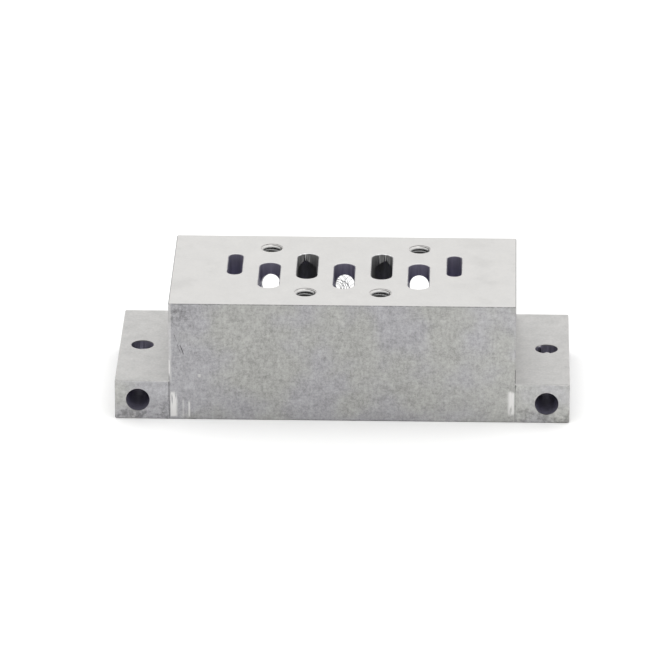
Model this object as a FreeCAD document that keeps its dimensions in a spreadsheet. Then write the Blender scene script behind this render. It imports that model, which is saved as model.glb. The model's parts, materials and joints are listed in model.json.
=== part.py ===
"""Pneumatic valve sub-base, machined from one piece of aluminium.

A raised block carries the valve on its top face, and a low foot at each end bolts it down.
The top face has five main slots, two pilot slots and four tapped holes for the valve.
Origin at the middle of the bottom face: X along the length, -Y the plain front, Z up.
The part is the same left and right, so the left half's features are mirrored.
"""
import FreeCAD, Part
import math
import os
import Sketcher

NODE = "sub_base"

# Driving sizes in millimetres: name in the sheet, value, meaning.
SIZES = [
    ("block_length", 83.0, "raised block along X"),
    ("body_depth", 44.0, "block and feet along Y"),
    ("body_height", 30.0, "bottom face to valve face"),
    ("foot_reach", 13.0, "each foot beyond the block"),
    ("foot_height", 10.0, "thickness of the feet"),
    ("edge_break", 0.25, "chamfer on the outer edges"),
    ("port_pitch", 9.0, "main slots, centre to centre along X"),
    ("slot_width", 5.0, "main slots"),
    ("slot_length", 16.2, "main slots, over their round ends"),
    ("slot_floor", 9.0, "depth of the main slots"),
    ("slot_rim", 0.2, "chamfer round every slot"),
    ("front_row", -3.3, "Y of the middles of slots 5, 1 and 3"),
    ("rear_row", 2.7, "Y of the middles of slots 4 and 2"),
    ("pilot_width", 3.5, "pilot slots"),
    ("pilot_length", 13.2, "pilot slots, over their round ends"),
    ("pilot_floor", 12.5, "depth of the pilot slots"),
    ("pilot_offset", 26.5, "pilot slots from the middle, along X"),
    ("pilot_row", 3.5, "Y of the pilot slots and of their ports"),
    ("screw_rows", 28.0, "between the two rows of valve screws"),
    ("screw_bore", 4.2, "tapping bore of the valve screw holes"),
    ("screw_mouth", 5.2, "countersink of the valve screw holes"),
    ("front_screw_depth", 10.0, "valve screw holes in front of slots 4 and 2"),
    ("rear_screw_depth", 5.2, "valve screw holes behind slots 5 and 3"),
    ("foot_hole_span", 98.0, "between the holes of the two feet, along X"),
    ("foot_bolt_bore", 5.5, "upright fixing holes of the feet"),
    ("tie_bore", 5.7, "level holes through the feet, along Y"),
    ("tie_height", 5.0, "Z of the level holes"),
    ("port_bore", 8.6, "tapping bore of the pipe threads"),
    ("port_mouth", 9.9, "countersink of the pipe threads"),
    ("port_depth", 7.5, "depth of the pipe threads"),
    ("rear_port_height", 17.5, "Z of the rear ports"),
    ("passage_bore", 4.8, "slanted passages from slots 5, 1 and 3 to the rear ports"),
    ("passage_drop", 5.65, "passage below the valve face where it leaves the slot"),
    ("riser_bore", 6.0, "upright passages from the bottom ports to slots 4 and 2"),
    ("riser_shift", 0.9, "risers outwards from the middle of their slots"),
    ("riser_setback", 0.35, "risers behind the end of their slots"),
    ("riser_cover", 3.4, "valve face to the shoulder of the risers"),
    ("pilot_bore", 4.2, "tapping bore of the pilot ports"),
    ("pilot_mouth", 5.2, "countersink of the pilot ports"),
    ("pilot_port_height", 20.0, "Z of the pilot ports in the ends of the block"),
]

# Sketcher's numbers for a sketch's own origin, and for the points of a curve.
ORIGIN = (-1, 1)
START, END, CENTRE = 1, 2, 3

# How far a computed coordinate may be from the one it should equal.
TOLERANCE = 1e-4


def make_sheet(document):
    """One cell for each driving size, with the size's name as its alias."""
    sheet = document.addObject("Spreadsheet::Sheet", "sizes")
    for row, (alias, number, meaning) in enumerate(SIZES, start=1):
        sheet.set(f"A{row}", meaning)
        sheet.set(f"B{row}", str(number))
        sheet.setAlias(f"B{row}", alias)
    document.recompute()
    return sheet


doc = FreeCAD.newDocument("valve_sub_base")
sheet = make_sheet(doc)
body = doc.addObject("PartDesign::Body", NODE)


def size(expression):
    """The present value of an expression on the sheet."""
    return float(sheet.evalExpression(expression))


def origin_feature(role):
    return next(feature for feature in body.Origin.OriginFeatures if feature.Role == role)


def new_sketch(name, plane, offset):
    """A sketch on an origin plane of the body, moved by offset along the plane's normal."""
    sketch = body.newObject("Sketcher::SketchObject", name)
    sketch.AttachmentSupport = [(origin_feature(plane), "")]
    sketch.MapMode = "FlatFace"
    sketch.setExpression(".AttachmentOffset.Base.z", offset)
    return sketch


def bind(sketch, kind, *where, to):
    """Adds a dimension to the sketch and ties it to the sheet."""
    index = sketch.addConstraint(Sketcher.Constraint(kind, *where, size(to)))
    sketch.setExpression(f"Constraints[{index}]", to)


def place(sketch, geometry, point, across, up):
    """Ties the coordinates of a point to the sheet."""
    bind(sketch, "DistanceX", *ORIGIN, geometry, point, to=across)
    bind(sketch, "DistanceY", *ORIGIN, geometry, point, to=up)


def join_ends(sketch, kind, count):
    """Joins the end of each of the first curves to the start of the next, round to the first."""
    for curve in range(count):
        sketch.addConstraint(Sketcher.Constraint(kind, curve, END, (curve + 1) % count, START))


def closed_outline(sketch, points):
    """A loop of straight lines through the points, each a pair of expressions."""
    corners = [FreeCAD.Vector(size(across), size(up), 0) for across, up in points]
    for corner, following in zip(corners, corners[1:] + corners[:1]):
        sketch.addGeometry(Part.LineSegment(corner, following))
    join_ends(sketch, "Coincident", len(corners))
    for line, (across, up) in enumerate(points):
        place(sketch, line, START, across, up)


def add_body():
    """The block and its two feet: one profile, extruded to both sides of the middle."""
    half_block = "sizes.block_length / 2"
    half_length = "(sizes.block_length / 2 + sizes.foot_reach)"
    sketch = new_sketch("profile", "XZ_Plane", "0")
    closed_outline(sketch, [
        (f"-{half_length}", "0"),
        (half_length, "0"),
        (half_length, "sizes.foot_height"),
        (half_block, "sizes.foot_height"),
        (half_block, "sizes.body_height"),
        (f"-{half_block}", "sizes.body_height"),
        (f"-{half_block}", "sizes.foot_height"),
        (f"-{half_length}", "sizes.foot_height"),
    ])
    pad = body.newObject("PartDesign::Pad", "blank")
    pad.Profile = sketch
    pad.SideType = "Symmetric"
    pad.setExpression("Length", "sizes.body_depth")
    return pad


def break_edges(base):
    """Chamfers every outer edge; the inner corners where the feet meet the block stay sharp."""
    inner = size("sizes.block_length / 2")
    step = size("sizes.foot_height")
    names = []
    for number, edge in enumerate(base.Shape.Edges, start=1):
        at_step = all(abs(end.Point.z - step) < TOLERANCE for end in edge.Vertexes)
        at_block = all(abs(abs(end.Point.x) - inner) < TOLERANCE for end in edge.Vertexes)
        if not (at_step and at_block):
            names.append(f"Edge{number}")
    chamfer = body.newObject("PartDesign::Chamfer", "broken_edges")
    chamfer.Base = (base, names)
    chamfer.setExpression("Size", "sizes.edge_break")
    return chamfer


def add_slot(name, across, along, width, length, depth):
    """A round-ended slot milled down from the valve face, its length along Y."""
    sketch = new_sketch(f"{name}_outline", "XY_Plane", "sizes.body_height")
    middle, radius = size(across), size(width) / 2
    reach = f"({length} - {width}) / 2"
    rear = FreeCAD.Vector(middle, size(f"{along} + {reach}"), 0)
    front = FreeCAD.Vector(middle, size(f"{along} - {reach}"), 0)
    up = FreeCAD.Vector(0, 0, 1)
    side = FreeCAD.Vector(radius, 0, 0)
    sketch.addGeometry(Part.ArcOfCircle(Part.Circle(rear, up, radius), 0, math.pi))
    sketch.addGeometry(Part.LineSegment(rear - side, front - side))
    sketch.addGeometry(Part.ArcOfCircle(Part.Circle(front, up, radius), math.pi, 2 * math.pi))
    sketch.addGeometry(Part.LineSegment(front + side, rear + side))
    join_ends(sketch, "Tangent", 4)
    sketch.addConstraint(Sketcher.Constraint("Equal", 0, 2))
    place(sketch, 0, CENTRE, across, f"{along} + {reach}")
    place(sketch, 2, CENTRE, across, f"{along} - {reach}")
    bind(sketch, "Radius", 0, to=f"{width} / 2")
    pocket = body.newObject("PartDesign::Pocket", name)
    pocket.Profile = sketch
    pocket.setExpression("Length", depth)
    return pocket


def add_hole(name, plane, offset, centres, bore, depth=None, mouth=None, inwards="against", point="Flat"):
    """Drilled holes at the centres, from a plane of the body into it.

    inwards says whether the drill runs "along" or "against" the plane's normal, and no
    depth means right through. A mouth is the wide end of a 90 degree countersink.
    """
    sketch = new_sketch(f"{name}_centres", plane, offset)
    for circle, (across, up) in enumerate(centres):
        middle = FreeCAD.Vector(size(across), size(up), 0)
        sketch.addGeometry(Part.Circle(middle, FreeCAD.Vector(0, 0, 1), size(bore) / 2))
        place(sketch, circle, CENTRE, across, up)
        bind(sketch, "Diameter", circle, to=bore)
    doc.recompute()
    hole = body.newObject("PartDesign::Hole", name)
    hole.Profile = sketch
    hole.Reversed = inwards == "along"
    hole.DrillPoint = point
    hole.DepthType = "ThroughAll"
    hole.setExpression("Diameter", bore)
    if depth:
        hole.DepthType = "Dimension"
        hole.setExpression("Depth", depth)
    if mouth:
        hole.HoleCutType = "Countersink"
        hole.HoleCutCustomValues = True
        hole.setExpression("HoleCutDiameter", mouth)
        hole.HoleCutCountersinkAngle = 90
    return hole


def add_passage(name, across):
    """A slanted bore from a rear port's mouth up into the end wall of a front-row slot."""
    sketch = new_sketch(f"{name}_section", "YZ_Plane", across)
    mouth = ("sizes.body_depth / 2", "sizes.rear_port_height")
    wall = ("sizes.front_row + sizes.slot_length / 2", "sizes.body_height - sizes.passage_drop")
    inner_end = f"{wall[0]} - sizes.slot_width"
    radius = size("sizes.passage_bore / 2")
    start = FreeCAD.Vector(size(mouth[0]), size(mouth[1]), 0)
    through = FreeCAD.Vector(size(wall[0]), size(wall[1]), 0)
    run = (through - start).normalize()
    end = start + run * ((size(inner_end) - start.x) / run.x)
    side = FreeCAD.Vector(run.y, -run.x, 0) * radius
    corners = [start, end, end + side, start + side]
    for corner, following in zip(corners, corners[1:] + corners[:1]):
        sketch.addGeometry(Part.LineSegment(corner, following))
    join_ends(sketch, "Coincident", len(corners))
    sketch.addConstraint(Sketcher.Constraint("Perpendicular", 0, 1))
    sketch.addConstraint(Sketcher.Constraint("Perpendicular", 0, 3))
    sketch.addConstraint(Sketcher.Constraint("Parallel", 0, 2))
    bind(sketch, "Distance", 1, to="sizes.passage_bore / 2")
    place(sketch, 0, START, *mouth)
    bind(sketch, "DistanceX", *ORIGIN, 0, END, to=inner_end)
    sketch.addGeometry(Part.Point(through), True)
    place(sketch, 4, START, *wall)
    sketch.addConstraint(Sketcher.Constraint("PointOnObject", 4, START, 0))
    groove = body.newObject("PartDesign::Groove", name)
    groove.Profile = sketch
    groove.ReferenceAxis = (sketch, ["Edge1"])
    groove.Angle = 360
    return groove


def add_rear_port(name, across):
    """A threaded port in the rear face, at the lower end of a slanted passage, with the drill's cone."""
    return add_hole(name, "XZ_Plane", "-sizes.body_depth / 2", [(across, "sizes.rear_port_height")],
                    "sizes.port_bore", "sizes.port_depth", "sizes.port_mouth",
                    inwards="along", point="Angled")


def add_middle():
    """Port 1: its slot, its rear port and the passage between them, on the middle line."""
    add_slot("slot_1", "0", "sizes.front_row", "sizes.slot_width", "sizes.slot_length", "sizes.slot_floor")
    add_passage("passage_1", "0")
    add_rear_port("rear_port_1", "0")


def add_left_half():
    """All that the left half carries: ports 5, 4 and 14, the screw holes and the foot's holes."""
    pitch = "sizes.port_pitch"
    rear_screw = (f"-2 * {pitch}", "sizes.screw_rows / 2")
    front_screw = (f"-{pitch}", "-sizes.screw_rows / 2")
    riser = (f"-({pitch} + sizes.riser_shift)",
             "sizes.rear_row + sizes.slot_length / 2 + sizes.riser_setback")
    foot_x = "-sizes.foot_hole_span / 2"
    return [
        add_slot("slot_5", f"-2 * {pitch}", "sizes.front_row",
                 "sizes.slot_width", "sizes.slot_length", "sizes.slot_floor"),
        add_slot("slot_4", f"-{pitch}", "sizes.rear_row",
                 "sizes.slot_width", "sizes.slot_length", "sizes.slot_floor"),
        add_slot("slot_14", "-sizes.pilot_offset", "sizes.pilot_row",
                 "sizes.pilot_width", "sizes.pilot_length", "sizes.pilot_floor"),
        add_passage("passage_5", f"-2 * {pitch}"),
        add_rear_port("rear_port_5", f"-2 * {pitch}"),
        add_hole("riser_4", "XY_Plane", "0", [riser], "sizes.riser_bore",
                 "sizes.body_height - sizes.riser_cover", inwards="along", point="Angled"),
        add_hole("bottom_port_4", "XY_Plane", "0", [riser], "sizes.port_bore",
                 "sizes.port_depth", "sizes.port_mouth", inwards="along", point="Angled"),
        add_hole("pilot_port_14", "YZ_Plane", "-sizes.block_length / 2",
                 [("sizes.pilot_row", "sizes.pilot_port_height")], "sizes.pilot_bore",
                 "sizes.block_length / 2 - sizes.pilot_offset", "sizes.pilot_mouth", inwards="along"),
        add_hole("rear_screw_hole", "XY_Plane", "sizes.body_height", [rear_screw],
                 "sizes.screw_bore", "sizes.rear_screw_depth", "sizes.screw_mouth"),
        add_hole("front_screw_hole", "XY_Plane", "sizes.body_height", [front_screw],
                 "sizes.screw_bore", "sizes.front_screw_depth", "sizes.screw_mouth"),
        add_hole("foot_bolt_hole", "XY_Plane", "sizes.foot_height", [(foot_x, "0")],
                 "sizes.foot_bolt_bore"),
        add_hole("tie_hole", "XZ_Plane", "sizes.body_depth / 2", [(foot_x, "sizes.tie_height")],
                 "sizes.tie_bore"),
    ]


def mirror(features):
    """The same features on the right, across the plane through the middle."""
    mirrored = body.newObject("PartDesign::Mirrored", "right_half")
    mirrored.Originals = features
    mirrored.MirrorPlane = (origin_feature("YZ_Plane"), [""])
    body.Tip = mirrored
    return mirrored


def chamfer_slot_rims(base):
    """Takes the burr off the rim of every slot; the screw holes have their countersinks."""
    top = size("sizes.body_height")
    side = size("sizes.block_length / 2 - sizes.edge_break")
    rear = size("sizes.body_depth / 2 - sizes.edge_break")
    names = []
    for number, edge in enumerate(base.Shape.Edges, start=1):
        box = edge.BoundBox
        on_face = box.ZMin > top - TOLERANCE
        inside = abs(box.Center.x) < side - TOLERANCE and abs(box.Center.y) < rear - TOLERANCE
        if on_face and inside and not edge.isClosed():
            names.append(f"Edge{number}")
    chamfer = body.newObject("PartDesign::Chamfer", "slot_rims")
    chamfer.Base = (base, names)
    chamfer.setExpression("Size", "sizes.slot_rim")
    return chamfer


def check_model():
    """Stops with a message if any object failed or the solid isn't one valid solid."""
    for item in doc.Objects:
        if "Invalid" in item.State or "Error" in item.State:
            raise RuntimeError(f"{item.Name} failed: {item.State}")
    shape = body.Shape
    if shape.isNull() or not shape.isValid() or len(shape.Solids) != 1:
        raise RuntimeError("the sub-base isn't one valid solid")


blank = add_body()
doc.recompute()
break_edges(blank)
add_middle()
left_half = add_left_half()
doc.recompute()
both_halves = mirror(left_half)
doc.recompute()
chamfer_slot_rims(both_halves)
doc.recompute()
body.Label = NODE
body.Placement = FreeCAD.Placement()
doc.recompute()
check_model()

os.makedirs("parts", exist_ok=True)
body.Shape.exportStep(f"parts/{NODE}.step")
print(NODE, "volume", round(body.Shape.Volume), "faces", len(body.Shape.Faces))
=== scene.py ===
"""A pneumatic valve's sub-base: one block of aluminium, milled, drilled and tapped, with two low feet."""
import json
import math
import random

import bpy
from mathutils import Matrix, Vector


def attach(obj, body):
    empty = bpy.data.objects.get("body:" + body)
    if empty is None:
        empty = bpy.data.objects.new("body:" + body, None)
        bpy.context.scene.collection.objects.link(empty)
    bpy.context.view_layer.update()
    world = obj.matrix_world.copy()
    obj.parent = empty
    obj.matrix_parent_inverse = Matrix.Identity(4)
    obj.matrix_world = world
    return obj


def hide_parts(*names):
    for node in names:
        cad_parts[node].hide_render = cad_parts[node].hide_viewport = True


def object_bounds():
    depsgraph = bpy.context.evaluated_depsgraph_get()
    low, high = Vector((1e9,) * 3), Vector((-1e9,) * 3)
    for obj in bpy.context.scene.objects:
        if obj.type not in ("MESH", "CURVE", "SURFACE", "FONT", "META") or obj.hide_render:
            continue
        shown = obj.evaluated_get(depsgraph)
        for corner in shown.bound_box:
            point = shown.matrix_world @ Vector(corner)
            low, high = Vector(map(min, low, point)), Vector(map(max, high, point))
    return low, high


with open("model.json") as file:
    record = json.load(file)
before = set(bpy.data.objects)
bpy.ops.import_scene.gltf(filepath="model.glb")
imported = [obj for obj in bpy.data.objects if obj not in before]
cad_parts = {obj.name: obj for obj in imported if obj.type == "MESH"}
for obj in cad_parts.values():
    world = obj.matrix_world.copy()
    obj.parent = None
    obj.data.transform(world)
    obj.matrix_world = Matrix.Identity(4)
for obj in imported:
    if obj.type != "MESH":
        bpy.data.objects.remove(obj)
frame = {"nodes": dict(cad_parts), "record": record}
packed_box = [[float(value) for value in corner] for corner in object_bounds()]

# ---------------------------------------------------------------------------------------------------
# The blank. The real one is a single bar of aluminium with its feet milled down, then its slots,
# passages and holes cut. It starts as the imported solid's own shape, with its triangles joined into
# one closed skin, so that the tools further down can cut it.
# ---------------------------------------------------------------------------------------------------
MM = 0.001
SEAM_GAP = 0.001 * MM  # points closer than this are one point
low, high = (Vector(corner) for corner in packed_box)
mounts = {mount["name"]: mount for mount in frame["record"]["mounts"]}
foot_top = mounts["foot_bolts"]["pos_m"][2]
block_end = 41.5 * MM


def take_up(piece):
    """Leaves one piece selected and active, as the operators need."""
    bpy.ops.object.select_all(action="DESELECT")
    piece.select_set(True)
    bpy.context.view_layer.objects.active = piece


def lay_down(piece):
    """Puts a piece's place, turn and size into its mesh."""
    take_up(piece)
    bpy.ops.object.transform_apply(location=True, rotation=True, scale=True)


block = bpy.data.objects.new("machined_block", frame["nodes"]["sub_base"].data.copy())
bpy.context.collection.objects.link(block)
block.data.materials.clear()
take_up(block)
bpy.ops.object.mode_set(mode="EDIT")
bpy.ops.mesh.select_all(action="SELECT")
bpy.ops.mesh.remove_doubles(threshold=SEAM_GAP)
bpy.ops.object.mode_set(mode="OBJECT")


def work(tools, operation, name, overlapping=False):
    """Joins the tools, cuts them from the block or fuses them with it, and throws them away."""
    bpy.ops.object.select_all(action="DESELECT")
    for tool in tools:
        tool.select_set(True)
    bpy.context.view_layer.objects.active = tools[0]
    if len(tools) > 1:
        bpy.ops.object.join()
    cutter = bpy.context.view_layer.objects.active
    take_up(block)
    cut = block.modifiers.new(name, "BOOLEAN")
    cut.operation, cut.solver, cut.object = operation, "EXACT", cutter
    cut.use_self = overlapping
    bpy.ops.object.modifier_apply(modifier=cut.name)
    bpy.data.objects.remove(cutter, do_unlink=True)


# ---------------------------------------------------------------------------------------------------
# Marks of the saw, the mill and the tumbler, cut before the threads. A kerf runs up the front by
# each foot, with skimmed patches beside it. The sides carry dings, nicks and a few scratches. The
# right foot's hole has kept two burrs, and the middle slot's passage some curls of swarf.
# ---------------------------------------------------------------------------------------------------
FRONT = low.y
KERFS = ((-1, -1.0, 11.6), (1, 9.9, 14.0))  # which end, bottom and top, in mm
KERF_INSET = 0.02 * MM
KERF_WIDTH, KERF_DEPTH = 0.16 * MM, 0.07 * MM
SCRATCH_WIDTH, SCRATCH_DEPTH = 0.22 * MM, 0.12 * MM
SCRATCHES = (  # from x and z to x and z, in mm
    ((-39.4, 19.4), (-38.6, 17.1)),
    ((-38.7, 19.2), (-37.9, 16.9)),
    ((-40.1, 22.0), (-39.6, 20.2)),
)
SKIMS = ((-41.1, -39.35, 0.4, 7.3), (39.5, 41.25, 2.0, 8.1), (40.75, 41.3, 10.1, 12.2))  # x to x, z to z, in mm
SKIM_DEPTH = 0.05 * MM
BRIGHT_DING, BRIGHT_DING_SIZE = (-34.2, 11.4), 0.3 * MM  # x and z, in mm
SIDE_DINGS, EDGE_NICKS = 26, 22
WEAR_SPAN = 40  # dings and nicks reach this far either side of the middle, in mm
CURLS, CURL_THICKNESS = 14, 0.05 * MM
CURL_SIDES = ((-0.7, 0.7), (2.4, 3.8))  # angles round the passage, in radians
CURL_HEIGHT, CURL_SQUASH = 22.6, 0.8  # height in mm, and how much less they spread up than across
BURRS = (((0.1, -2.65), (1.0, 1.2, 0.5)), ((-2.15, 2.25), (0.9, 0.4, 0.4)))  # place by the hole, size, in mm
BURR_DROP = 0.46  # below the top of the foot, in mm


def graver(start, end, width, depth):
    """A three-sided bar that cuts a V along a line on the front, from (x, z) to (x, z) in mm."""
    start, end = (Vector((across * MM, FRONT, up * MM)) for across, up in (start, end))
    run = end - start
    bpy.ops.object.select_all(action="DESELECT")
    bpy.ops.mesh.primitive_cylinder_add(vertices=3, radius=1, depth=run.length, location=(start + end) / 2)
    bar = bpy.context.object
    wider, deeper = 0.7, 1.3  # shares of the V's width and depth that the bar is scaled by
    bar.scale = (width * wider, depth * deeper, 1)
    bar.rotation_mode = "QUATERNION"
    bar.rotation_quaternion = Vector((0, 0, 1)).rotation_difference(run)
    lay_down(bar)
    return bar


marks = []
for side, bottom, top in KERFS:
    across = side * (block_end - KERF_INSET) / MM
    marks.append(graver((across, bottom), (across, top), KERF_WIDTH, KERF_DEPTH))
for start, end in SCRATCHES:
    marks.append(graver(start, end, SCRATCH_WIDTH, SCRATCH_DEPTH))
for start, end, bottom, top in SKIMS:
    bpy.ops.object.select_all(action="DESELECT")
    bpy.ops.mesh.primitive_cube_add(size=1, location=((start + end) / 2 * MM, FRONT, (bottom + top) / 2 * MM))
    skim = bpy.context.object
    skim.scale = ((end - start) * MM, 2 * SKIM_DEPTH, (top - bottom) * MM)
    lay_down(skim)
    marks.append(skim)

wear = random.Random(7)
dings = [(Vector((BRIGHT_DING[0] * MM, FRONT, BRIGHT_DING[1] * MM)), BRIGHT_DING_SIZE)]
for _ in range(SIDE_DINGS):
    across = wear.uniform(-WEAR_SPAN, WEAR_SPAN) * MM
    height = wear.uniform(2, 28) * MM
    face = wear.choice((FRONT, FRONT, -FRONT))
    dings.append((Vector((across, face, height)), wear.uniform(0.12, 0.3) * MM))
for _ in range(EDGE_NICKS):
    along = wear.uniform(-WEAR_SPAN, WEAR_SPAN) * MM
    edge_y, edge_z = wear.choice(((FRONT, high.z), (FRONT, high.z), (-FRONT, high.z), (FRONT, low.z)))
    dings.append((Vector((along, edge_y, edge_z)), wear.uniform(0.26, 0.34) * MM))
for place, size in dings:
    bpy.ops.object.select_all(action="DESELECT")
    bpy.ops.mesh.primitive_ico_sphere_add(subdivisions=2, radius=size, location=place)
    dent = bpy.context.object
    dent.scale = (wear.uniform(0.8, 1.8), 0.45, wear.uniform(0.7, 1.4))
    lay_down(dent)
    marks.append(dent)
work(marks, "DIFFERENCE", "marks", overlapping=True)

curls = []
for _ in range(CURLS):
    turn = wear.choice([wear.uniform(*side) for side in CURL_SIDES])
    out = wear.uniform(1.6, 2.9)
    across, up = out * math.cos(turn), CURL_HEIGHT + CURL_SQUASH * out * math.sin(turn)
    bpy.ops.object.select_all(action="DESELECT")
    bpy.ops.mesh.primitive_torus_add(
        major_segments=28,
        minor_segments=5,
        major_radius=wear.uniform(1.3, 2.9) * MM,
        minor_radius=CURL_THICKNESS,
        location=(across * MM, wear.uniform(6.4, 7.4) * MM, up * MM),
        rotation=(math.pi / 2 + wear.uniform(-0.2, 0.2), 0, wear.uniform(-0.15, 0.15)),
    )
    curl = bpy.context.object
    lay_down(curl)
    curls.append(curl)
work(curls, "UNION", "swarf", overlapping=True)

burrs = []
bolt_hole = Vector(mounts["foot_bolts"]["pos_m"])
bolt_hole.x += mounts["foot_bolts"]["dims"]["spacing_x_mm"] / 2 * MM
for (across, along), size in BURRS:
    place = bolt_hole + Vector((across, along, -BURR_DROP)) * MM
    bpy.ops.object.select_all(action="DESELECT")
    bpy.ops.mesh.primitive_ico_sphere_add(subdivisions=3, radius=1, location=place)
    burr = bpy.context.object
    burr.scale = Vector(size) * MM
    lay_down(burr)
    burrs.append(burr)
work(burrs, "UNION", "burrs", overlapping=True)

# ---------------------------------------------------------------------------------------------------
# The tapped holes. Three pipe ports in the back and two in the bottom take G1/8 fittings, the pilot
# ports in the ends and the four spot-faced holes in the top take M5. Each thread is cut by a tap: a
# V-shaped ridge wound round the hole's axis, from outside the mouth to just above the drilled end.
# ---------------------------------------------------------------------------------------------------
PIPE_THREAD = {"bore": 8.6 * MM, "crest": 9.73 * MM, "pitch": 0.907 * MM, "half_angle": math.radians(27.5)}
SCREW_THREAD = {"bore": 4.2 * MM, "crest": 5.0 * MM, "pitch": 0.8 * MM, "half_angle": math.radians(30)}
TAP_STEPS = 28
TAP_ROOT = 0.12 * MM  # the ridge starts this far short of the bore's wall
TAP_LEAD = 0.6  # how far outside the mouth it starts, in pitches
PIPE_THREAD_DEPTH = 6.9 * MM
PILOT_THREAD_DEPTH = 9.0 * MM
REAR_SCREW_DEPTH = 4.7 * MM
FRONT_SCREW_DEPTH = 9.2 * MM
SPOT_RADIUS, SPOT_DEPTH = 2.68 * MM, 0.12 * MM
SINK_DEPTH = SPOT_RADIUS - SCREW_THREAD["bore"] / 2  # the countersink slopes at 45 degrees
SINK_OVERLAP = 0.01 * MM
MOUTH_STEPS = 48
SLIVER = 0.0005 * MM  # the taps leave edges shorter than this
SMOOTH_UP_TO = math.radians(32)


def tap(mouth, inward, depth, thread):
    """A V-shaped ridge wound from just outside a hole's mouth down to a depth."""
    root = thread["bore"] / 2 - TAP_ROOT
    rise = thread["crest"] / 2 - root
    start = TAP_LEAD * thread["pitch"]
    even_sided = math.radians(30)  # half the corner of the triangle that is added
    bpy.ops.object.select_all(action="DESELECT")
    bpy.ops.mesh.primitive_circle_add(
        vertices=3,
        radius=rise * 2 / 3,
        location=(root + rise / 3, 0, -start),
        rotation=(math.pi / 2, math.pi / 2, 0),
    )
    ridge = bpy.context.object
    bpy.ops.object.transform_apply(location=False, rotation=True, scale=True)
    bpy.ops.object.mode_set(mode="EDIT")
    bpy.ops.mesh.select_all(action="SELECT")
    bpy.ops.transform.resize(value=(1, 1, math.tan(thread["half_angle"]) / math.tan(even_sided)))
    bpy.ops.object.mode_set(mode="OBJECT")
    lay_down(ridge)
    wind = ridge.modifiers.new("wind", "SCREW")
    wind.axis, wind.angle, wind.screw_offset = "Z", math.tau, thread["pitch"]
    wind.iterations = round((depth + start) / thread["pitch"])
    wind.steps = wind.render_steps = TAP_STEPS
    bpy.ops.object.modifier_apply(modifier=wind.name)
    bpy.ops.object.mode_set(mode="EDIT")
    bpy.ops.mesh.select_all(action="SELECT")
    bpy.ops.mesh.remove_doubles(threshold=SEAM_GAP)
    bpy.ops.mesh.fill_holes(sides=4)
    bpy.ops.mesh.select_all(action="SELECT")
    bpy.ops.mesh.normals_make_consistent(inside=False)
    bpy.ops.object.mode_set(mode="OBJECT")
    ridge.rotation_mode = "QUATERNION"
    ridge.rotation_quaternion = Vector((0, 0, 1)).rotation_difference(inward)
    ridge.location = mouth
    lay_down(ridge)
    return ridge


taps, spot_faces, countersinks = [], [], []
for name, mount in mounts.items():
    if mount["kind"] != "threaded_hole":
        continue
    outward = Vector(mount["axis"])
    face = high if sum(outward) > 0 else low
    mouth = Vector(mount["pos_m"])
    for side in range(3):
        if outward[side]:
            mouth[side] = face[side]
    if name.startswith("pilot_port"):
        mouth.x = math.copysign(block_end, mouth.x)
        taps.append(tap(mouth, -outward, PILOT_THREAD_DEPTH, SCREW_THREAD))
    else:
        taps.append(tap(mouth, -outward, PIPE_THREAD_DEPTH, PIPE_THREAD))
for name, depth in (("valve_screws_rear", REAR_SCREW_DEPTH), ("valve_screws_front", FRONT_SCREW_DEPTH)):
    half_span = mounts[name]["dims"]["spacing_x_mm"] / 2 * MM
    for across in (-half_span, half_span):
        mouth = Vector(mounts[name]["pos_m"]) + Vector((across, 0, 0))
        taps.append(tap(mouth, Vector((0, 0, -1)), depth, SCREW_THREAD))
        bpy.ops.object.select_all(action="DESELECT")
        bpy.ops.mesh.primitive_cylinder_add(
            vertices=MOUTH_STEPS, radius=SPOT_RADIUS, depth=2 * SPOT_DEPTH, location=mouth
        )
        spot_faces.append(bpy.context.object)
        lay_down(spot_faces[-1])
        bpy.ops.mesh.primitive_cone_add(
            vertices=MOUTH_STEPS,
            radius1=SCREW_THREAD["bore"] / 2,
            radius2=SPOT_RADIUS,
            depth=SINK_DEPTH,
            location=mouth - Vector((0, 0, SPOT_DEPTH + SINK_DEPTH / 2 - SINK_OVERLAP)),
        )
        countersinks.append(bpy.context.object)
        lay_down(countersinks[-1])
work(spot_faces, "DIFFERENCE", "spot_facing")
work(countersinks, "DIFFERENCE", "countersinking")
work(taps, "DIFFERENCE", "tapping")
bpy.ops.object.mode_set(mode="EDIT")
bpy.ops.mesh.select_all(action="SELECT")
bpy.ops.mesh.remove_doubles(threshold=SLIVER)
bpy.ops.object.mode_set(mode="OBJECT")

# the holes and slots are shaded round, and the milled faces flat
take_up(block)
bpy.ops.object.shade_smooth_by_angle(angle=SMOOTH_UP_TO)
for patch in block.data.polygons:
    centre = patch.center
    milled = (
        (abs(centre.x), block_end),
        (abs(centre.x), high.x),
        (abs(centre.y), high.y),
        (centre.z, low.z),
        (centre.z, high.z),
        (centre.z, foot_top),
    )
    if any(abs(at - plane) < SEAM_GAP for at, plane in milled):
        patch.use_smooth = False
even = block.modifiers.new("even_faces", "WEIGHTED_NORMAL")
even.mode, even.weight, even.keep_sharp = "FACE_AREA", 50, True
bpy.ops.object.modifier_apply(modifier=even.name)

# ---------------------------------------------------------------------------------------------------
# The aluminium as it left the shop. The top was skimmed last and is pale and even; its paleness
# beside the sides is partly painted light. The sides, feet and ends were tumbled after milling and are
# mottled grey. The walls of the slots, the pilot ports and the holes in the feet carry a painted purplish
# shade. The pipe ports and the screw holes are bare.
# ---------------------------------------------------------------------------------------------------


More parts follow.
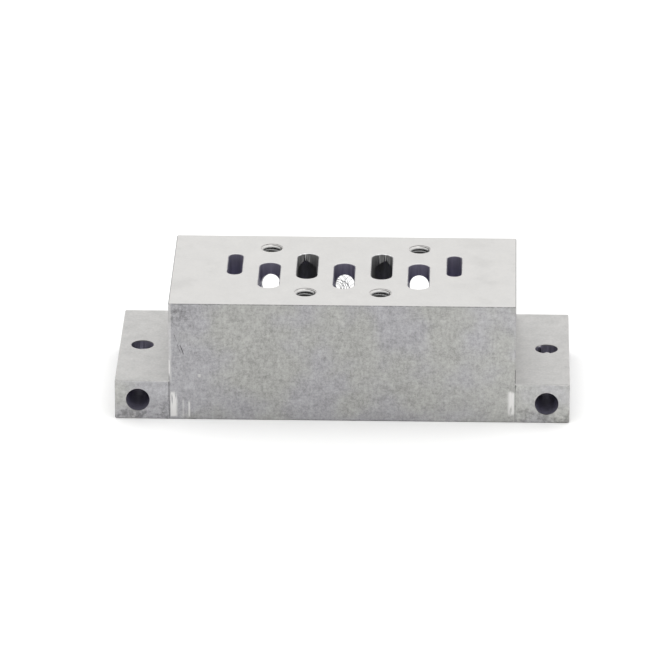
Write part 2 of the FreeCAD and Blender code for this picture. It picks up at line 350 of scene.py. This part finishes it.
class Tone:
    """A socket of a material. Arithmetic on it adds Math nodes, and node() adds any other node."""

    def __init__(self, tree, socket=None):
        self.tree, self.socket = tree, socket

    def node(self, kind, settings=None, sockets=None, out=0):
        made = self.tree.nodes.new(kind)
        for name, value in (settings or {}).items():
            setattr(made, name, value)
        for name, value in (sockets or {}).items():
            if isinstance(value, Tone):
                self.tree.links.new(value.socket, made.inputs[name])
            else:
                made.inputs[name].default_value = value
        return Tone(self.tree, made.outputs[out] if made.outputs else None)

    def output(self, number):
        """Another output of the node that this socket is on."""
        return Tone(self.tree, self.socket.node.outputs[number])

    def math(self, operation, *terms):
        return self.node("ShaderNodeMath", {"operation": operation}, dict(enumerate(terms)))

    def __add__(self, other):
        return self.math("ADD", self, other)

    def __radd__(self, other):
        return self.math("ADD", other, self)

    def __sub__(self, other):
        return self.math("SUBTRACT", self, other)

    def __rsub__(self, other):
        return self.math("SUBTRACT", other, self)

    def __mul__(self, other):
        return self.math("MULTIPLY", self, other)

    def __rmul__(self, other):
        return self.math("MULTIPLY", other, self)

    def __abs__(self):
        return self.math("ABSOLUTE", self)

    def lesser(self, other):
        return self.math("MINIMUM", self, other)

    def greater(self, other):
        return self.math("MAXIMUM", self, other)

    def ramp(self, start, end, low_value=0.0, high_value=1.0):
        """Goes smoothly from one value to another as this one goes from start to end."""
        return self.node(
            "ShaderNodeMapRange",
            {"interpolation_type": "SMOOTHSTEP", "clamp": True},
            {"Value": self, "From Min": start, "From Max": end, "To Min": low_value, "To Max": high_value},
        )

    def band(self, rise_from, rise_to, fall_from, fall_to):
        """1 between two places, with a smooth rise before and a smooth fall after."""
        return self.ramp(rise_from, rise_to) * (1.0 - self.ramp(fall_from, fall_to))

    def blend(self, first, second):
        """A colour that goes from the first to the second as this value goes from 0 to 1."""
        return self.node("ShaderNodeMix", {"data_type": "RGBA"}, {0: self, 6: first, 7: second}, out=2)


def grey(value, warmth=0.0):
    """A colour of one brightness, a little warmer or cooler than grey."""
    return (value * (1 + warmth), value, value * (1 - 1.6 * warmth), 1.0)


finish = bpy.data.materials.new("milled_aluminium")
finish.use_nodes = True
tree = finish.node_tree
tree.nodes.clear()
metal = Tone(tree)
place = metal.node("ShaderNodeTexCoord", out=3)
in_mm = metal.node("ShaderNodeVectorMath", {"operation": "SCALE"}, {0: place, "Scale": 1 / MM})
split = metal.node("ShaderNodeSeparateXYZ", {}, {0: in_mm})
x, y, z = (split.output(axis) for axis in range(3))
x_out, y_out = abs(x), abs(y)


def grain(size, detail=2.0, rough=0.5, stretch=(1, 1, 1)):
    """Cloudy noise whose patches are about a size across, in mm."""
    stretched = metal.node("ShaderNodeMapping", {"vector_type": "POINT"}, {"Vector": in_mm, "Scale": stretch})
    return metal.node(
        "ShaderNodeTexNoise", {}, {"Vector": stretched, "Scale": 1 / size, "Detail": detail, "Roughness": rough}
    )


def scaled(colour, factor):
    """A colour made brighter or darker by a factor."""
    return metal.node("ShaderNodeVectorMath", {"operation": "SCALE"}, {0: colour, "Scale": factor})


# sizes and places on the block, in mm, with the line of the middle passage's axis
BLOCK_END, FEET_END, SIDE, TOP, FOOT_TOP = (
    round(size / MM, 3) for size in (block_end, high.x, high.y, high.z, foot_top)
)
RISER_X = 9.0
PASSAGE_SLOPE, PASSAGE_START, PASSAGE_COSINE = 0.398, 26.262, 0.93

# how far each spot lies below the nearest outer face: nothing outside, more along a hole or slot
from_side = SIDE - y_out
under_block = (BLOCK_END - x_out).lesser(from_side).lesser((TOP - z).lesser(z))
under_foot = (FEET_END - x_out).lesser(from_side).lesser((FOOT_TOP - z).lesser(z))
depth = under_block.greater(under_foot)

# where the holes are, with distances from an axis squared: by a screw, in the middle passage, in
# the slots over a riser, in a foot
from_screws = []
for name in ("valve_screws_rear", "valve_screws_front"):
    across = x_out - mounts[name]["dims"]["spacing_x_mm"] / 2
    along = y - mounts[name]["pos_m"][1] / MM
    from_screws.append(across * across + along * along)
by_screw = 1.0 - from_screws[0].lesser(from_screws[1]).ramp(7.6, 8.0)
from_axis = PASSAGE_COSINE * (z + PASSAGE_SLOPE * y - PASSAGE_START)
swarf = (1.0 - (x * x + from_axis * from_axis).ramp(4.9, 5.2)) * y.band(5.6, 6.0, 7.8, 8.2)
over_riser = 1.0 - abs(x_out - RISER_X).ramp(4.0, 4.5)
in_foot = x_out.ramp(41.4, 41.6)
# painted shade: a dark outline on the low step round each screw's spot face
spot_step_shade = depth.band(0.01, 0.02, 0.11, 0.12)
inner = depth.ramp(0.2, 0.27) * (1.0 - by_screw) + depth.ramp(0.5, 0.56) * by_screw
inner = inner.greater(0.6 * by_screw * spot_step_shade)

# the outer faces and edges: the top with a painted highlight on its slots' rims and painted shade along its
# outer edge, the tops of the feet, the plain front
at_rim = 1.0 - (BLOCK_END - x_out).lesser(from_side).ramp(0.26, 0.3)
strict = at_rim.greater(by_screw)
near_top, at_top = z.ramp(29.76, 29.80), z.ramp(29.92, 29.96)
on_top = near_top * (1.0 - strict) + at_top * strict
on_top = on_top.greater(by_screw * z.ramp(29.42, 29.48))
# painted highlight: a pale band on the chamfers of the slots' rims
slot_rim_highlight = near_top * (1.0 - z.ramp(29.95, 29.98)) * (1.0 - strict)
# painted shade: a ragged dark line along the top's outer edge
edge_shade = at_rim * z.ramp(29.72, 29.76) * (1.0 - at_top)
on_foot = z.band(9.72, 9.80, 10.05, 10.15) * x_out.ramp(41.3, 41.5)
on_foot_front = x_out.ramp(41.6, 41.9)
at_front = (-1.0 * y).ramp(21.6, 21.75)

patches = grain(14.0, 2.0)
cloud = grain(3.2, 4.0, 0.6)
speck = grain(0.62, 3.0, 0.6)
fine = grain(0.3, 2.0)
upright = grain(0.6, 2.0, 0.5, (1.0, 1.0, 0.3))
sideways = grain(0.6, 2.0, 0.5, (0.3, 1.0, 1.0))

TUMBLED_COOL, TUMBLED_WARM = (0.347, 0.344, 0.357, 1.0), (0.355, 0.355, 0.342, 1.0)
# partly painted light: the top's and the feet tops' tones are paler than the tumbled sides partly because
# upward faces catch more light; the finishes differ too
TOP_TONE, FOOT_TONE = grey(0.565, 0.014), grey(0.465, 0.012)
# painted shade: the two wall tones on the next line darken the slots and holes to a purplish grey, paler deeper
# down; the second tone on the line after, for the upper walls over the risers, is painted shade too
WALL_SHADE_NEAR, WALL_SHADE_DEEP = (0.20, 0.19, 0.25, 1.0), (0.34, 0.325, 0.48, 1.0)
PORT_WALL, RISER_WALL_SHADE = grey(0.29), grey(0.11)
SWARF_TONE, RIM_HIGHLIGHT = grey(0.62, 0.02), grey(0.75)
SKIM_AND_HIGHLIGHT_TONE, LINE_SHADE = grey(0.67, 0.01), grey(0.12)

# tumbled sides: cool and warm patches, mottled, a little paler to the right, with painted light on
# the fronts of the feet, and grime low on the feet and at the upper left corner
mottle = 1.0 + 0.6 * (cloud - 0.5) + 0.7 * (speck - 0.5) + 0.55 * (fine - 0.5)
mottle = mottle + 0.35 * (upright - 0.5) + 0.3 * (sideways - 0.5)
# painted light: the fronts of the feet are made paler, against the table's shade on them
mottle = mottle + 0.10 * x.ramp(12.0, 38.0) + 0.12 * on_foot_front
grime = grain(1.5, 3.0, 0.6).ramp(0.42, 0.62)
corner = (-1.0 * x).ramp(33.0, 40.0) * z.ramp(21.0, 26.0)
mottle = mottle - 0.42 * grime * (on_foot_front * (1.0 - z.ramp(1.5, 6.0))).greater(0.7 * corner)
tumbled = scaled(patches.ramp(0.38, 0.62).blend(TUMBLED_COOL, TUMBLED_WARM), mottle)

# the skimmed top, faintly stained towards its ends, and the tops of the feet
stain = grain(9.0, 3.0, 0.6).ramp(0.5, 0.72) * x_out.ramp(20.0, 38.0)
top = scaled(TOP_TONE[:3], 1.0 - 0.08 * stain + 0.16 * (speck - 0.5) + 0.2 * (cloud - 0.5))
foot = scaled(FOOT_TONE[:3], 1.0 + 0.55 * (cloud - 0.5) + 0.45 * (speck - 0.5))

# marks on the front: streaky skimmed patches and thin bright lines, a painted highlight up the left edge,
# painted shade in the kerf lines, one bright ding
left, right = -1.0 * x, x
streak = grain(0.5, 2.0, 0.5, (1.0, 1.0, 0.12)).ramp(0.3, 0.5)
ragged = z + 1.6 * (upright - 0.5)
skim_left = left.band(39.1, 40.1, 41.0, 41.3) * (1.0 - ragged.ramp(6.3, 7.6))
skim_right = right.band(39.3, 40.3, 41.1, 41.35) * ragged.band(1.4, 2.6, 7.2, 8.4)
skim_thin = left.band(36.4, 36.5, 36.8, 36.95) * (1.0 - z.ramp(4.2, 5.0))
skim_faint = left.band(37.8, 37.95, 38.2, 38.4) * (1.0 - z.ramp(4.8, 5.6))
# a bright line on the left corner, partly rubbed wear and partly painted highlight
rub_and_highlight = left.ramp(41.2, 41.3) * z.band(11.5, 12.0, 15.0, 15.8)
skimmed = z.ramp(0.5, 1.0) * (skim_left * streak + skim_right * streak + 0.7 * skim_thin + 0.35 * skim_faint)
skimmed = at_front * (skimmed + rub_and_highlight).lesser(1.0)
# painted highlight up the left front edge
edge_highlight = 0.35 * at_front * left.ramp(40.75, 41.0) * z.ramp(9.0, 11.0)
# painted shade: dark lines down the kerfs by the feet, fainter low down
kerf_top = x.ramp(-1.0, 1.0, 11.5, 14.0)
kerf_shade = at_front * (1.0 - abs(x_out - 41.47).ramp(0.07, 0.13)) * (z - kerf_top).ramp(-0.6, 0.0, 1.0, 0.0)
kerf_shade = kerf_shade * z.ramp(7.6, 9.9, 0.3, 1.0)
ding_x, ding_z = x - BRIGHT_DING[0], z - BRIGHT_DING[1]
bright_ding = 0.6 * at_front * (1.0 - (ding_x * ding_x + ding_z * ding_z).ramp(0.04, 0.28))

# the walls of the slots and holes: upright tool marks under a painted purplish shade, darker by
# the mouths and paler deeper down, and bare metal in the pipe ports and by the screws
walls = (over_riser * z.ramp(20.5, 22.5)).blend(depth.ramp(1.0, 8.0).blend(WALL_SHADE_NEAR, WALL_SHADE_DEEP), RISER_WALL_SHADE)
tool_marks = 1.0 + 0.9 * (grain(0.8, 3.0, 0.6, (1.0, 1.0, 0.06)) - 0.5)
# painted light: the walls of the narrow end slots, the pilot ports and the slots over the risers are made paler
painted_wall_light = 1.0 + 1.2 * x_out.ramp(28.0, 29.0) * (1.0 - in_foot) + 0.9 * over_riser
walls = scaled(walls, tool_marks * painted_wall_light)
# where the walls carry the painted shade, not in the pipe ports or by the screws
wall_shade_zone = z.ramp(15.5, 16.5) * (1.0 - y.ramp(11.2, 11.8) * (1.0 - over_riser))
wall_shade_zone = wall_shade_zone.greater(in_foot) * (1.0 - by_screw)
walls = swarf.blend(wall_shade_zone.blend(PORT_WALL, walls), SWARF_TONE)

# the skimmed patches, the rubbed line and the painted edge highlight share one pale colour
colour = skimmed.greater(edge_highlight).blend(tumbled, SKIM_AND_HIGHLIGHT_TONE)
colour = kerf_shade.blend(colour, LINE_SHADE)
colour = bright_ding.blend(colour, SKIM_AND_HIGHLIGHT_TONE)
colour = (edge_shade * speck.ramp(0.35, 0.6, 0.1, 0.7)).blend(colour, LINE_SHADE)
colour = on_foot.blend(colour, foot)
colour = on_top.blend(colour, top)
colour = slot_rim_highlight.blend(colour, RIM_HIGHLIGHT)
colour = inner.blend(colour, walls)

rough = 0.46 + 0.3 * (cloud - 0.5) + 0.12 * (speck - 0.5) - 0.1 * skimmed - 0.06 * on_top
relief = (0.6 * cloud + 0.8 * speck + 0.3 * fine) * (1.0 - 0.8 * on_top)
bump = metal.node("ShaderNodeBump", {}, {"Strength": 0.25, "Distance": 0.03 * MM, "Height": relief})
metallic = 1.0 - 0.6 * inner * wall_shade_zone * (1.0 - swarf)
surface = metal.node(
    "ShaderNodeBsdfPrincipled",
    {},
    {"Base Color": colour, "Metallic": metallic, "Roughness": rough, "Normal": bump},
)
metal.node("ShaderNodeOutputMaterial", {}, {"Surface": surface})

block.data.materials.append(finish)
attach(block, "root")
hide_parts("sub_base")

# ---------------------------------------------------------------------------------------------------
# The table, the light and the camera. A plain white table top, a bright even room and one large
# faint softbox above, so that shadows are soft. The camera has a long lens, as for a catalogue.
# ---------------------------------------------------------------------------------------------------
TABLE_SIZE, TABLE_GAP = 8, 0.01 * MM
TABLE_PAINT = (0.96, 0.96, 0.955, 1)
bpy.ops.object.select_all(action="DESELECT")
bpy.ops.mesh.primitive_plane_add(size=TABLE_SIZE, location=(0, 0, low.z - TABLE_GAP))
table = bpy.context.object
table.name = "table_top"
paint = bpy.data.materials.new("white_table")
paint.use_nodes = True
coat = paint.node_tree.nodes["Principled BSDF"].inputs
coat["Base Color"].default_value = TABLE_PAINT
coat["Roughness"].default_value = 0.9
coat["Specular IOR Level"].default_value = 0.0
table.data.materials.append(paint)

ROOM_FRONT, ROOM_BACK, ROOM_ABOVE = 1.12, 1.22, 0.15
room = bpy.data.worlds.new("bright_room")
room.use_nodes = True
sky = Tone(room.node_tree)
direction = sky.node("ShaderNodeSeparateXYZ", {}, {0: sky.node("ShaderNodeTexCoord")})
backward, upward = direction.output(1), direction.output(2)
glow = backward.ramp(-0.4, 0.5, ROOM_FRONT, ROOM_BACK) + upward.ramp(0.4, 0.9, 0.0, ROOM_ABOVE)
backdrop = room.node_tree.nodes["Background"].inputs
room.node_tree.links.new(glow.socket, backdrop["Strength"])
backdrop["Color"].default_value = (1, 1, 1, 1)
bpy.context.scene.world = room

SOFTBOX_SIZE, SOFTBOX_WATTS = 2.0, 2.0
SOFTBOX_PLACE, SOFTBOX_TILT = (0, -0.25, 1.3), math.radians(-11)
softbox = bpy.data.lights.new("softbox", "AREA")
softbox.shape, softbox.size, softbox.energy = "SQUARE", SOFTBOX_SIZE, SOFTBOX_WATTS
above = bpy.data.objects.new("softbox", softbox)
above.location = SOFTBOX_PLACE
above.rotation_euler = (SOFTBOX_TILT, 0, 0)
bpy.context.collection.objects.link(above)

LENS, SENSOR, VIEW_LIMIT = 340.0, 36.0, 20.0
DISTANCE = 1521.5 * MM
TURN, TILT = math.radians(-1.566), math.radians(22.788)
AIM_OFFSET = Vector((-2.87, -0.52, -1.06)) * MM
aim = (low + high) / 2 + AIM_OFFSET
away = Vector((-math.sin(TURN) * math.cos(TILT), -math.cos(TURN) * math.cos(TILT), math.sin(TILT)))
lens = bpy.data.cameras.new("camera")
lens.lens, lens.sensor_width, lens.clip_end = LENS, SENSOR, VIEW_LIMIT
camera = bpy.data.objects.new("camera", lens)
camera.location = aim + away * DISTANCE
camera.rotation_euler = (-away).to_track_quat("-Z", "Y").to_euler()
bpy.context.collection.objects.link(camera)
bpy.context.scene.camera = camera
bpy.context.scene.view_settings.view_transform = "Standard"
